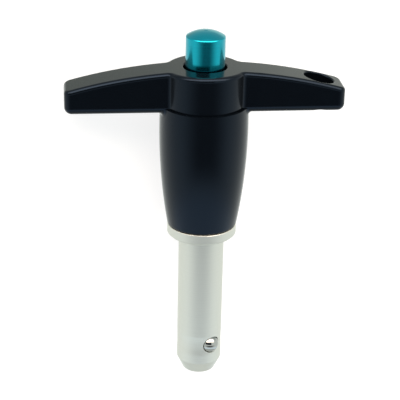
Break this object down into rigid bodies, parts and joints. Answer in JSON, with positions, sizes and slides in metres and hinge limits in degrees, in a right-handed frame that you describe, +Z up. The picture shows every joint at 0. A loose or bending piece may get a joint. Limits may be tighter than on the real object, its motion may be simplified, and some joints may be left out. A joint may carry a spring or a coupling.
{
  "type": "ball lock pin",
  "caption": "Quick-release pin with a T-handle: pressing the button lets its locking balls sink, so the shank slides out.",
  "frame": {"origin": "centre of the collar's seat, on the pin's axis, where the collar meets the work", "axes": "+Z up, with the pin lying on its side as it comes to rest; +Y along the pin towards its button, apart from a rise of 4.6 degrees; +X along the T-bar towards the arm with the lanyard hole, apart from a roll of 13.1 degrees"},
  "size_m": [0.059, 0.0805, 0.021],
  "materials": {
    "handle_plastic": "black glass-fibre nylon, moulded, satin",
    "shank_steel": "stainless steel, turned and ground, satin",
    "spindle_steel": "stainless steel, turned",
    "button_aluminium": "turned aluminium, anodised teal blue, bright",
    "spring_steel": "stainless spring wire",
    "ball_steel": "hardened stainless ball, polished"
  },
  "bodies": {
    "handle_body": {"handle": "handle_plastic", "shank": "shank_steel"},
    "plunger": {"button": "button_aluminium", "spindle": "spindle_steel", "spring": "spring_steel"},
    "ball_front": {"ball_front": "ball_steel"},
    "ball_rear": {"ball_rear": "ball_steel"}
  },
  "joints": [
    {"name": "button_press", "type": "slide", "parent": "handle_body", "child": "plunger", "axis": [0, -0.9968, -0.0806], "range_m": [0, 0.0038], "stiffness_N_per_m": 1200, "springref_m": -0.0033, "deforming": ["spring"]},
    {"name": "ball_front_sink", "type": "slide", "parent": "handle_body", "child": "ball_front", "axis": [-0.3072, 0.0767, -0.9485], "range_m": [0, 0.00105]},
    {"name": "ball_rear_sink", "type": "slide", "parent": "handle_body", "child": "ball_rear", "axis": [0.3072, -0.0767, 0.9485], "range_m": [0, 0.00105]}
  ],
  "couplings": [
    {"joint": "ball_front_sink", "follows": "button_press", "ratio": 0.2763},
    {"joint": "ball_rear_sink", "follows": "button_press", "ratio": 0.2763}
  ]
}
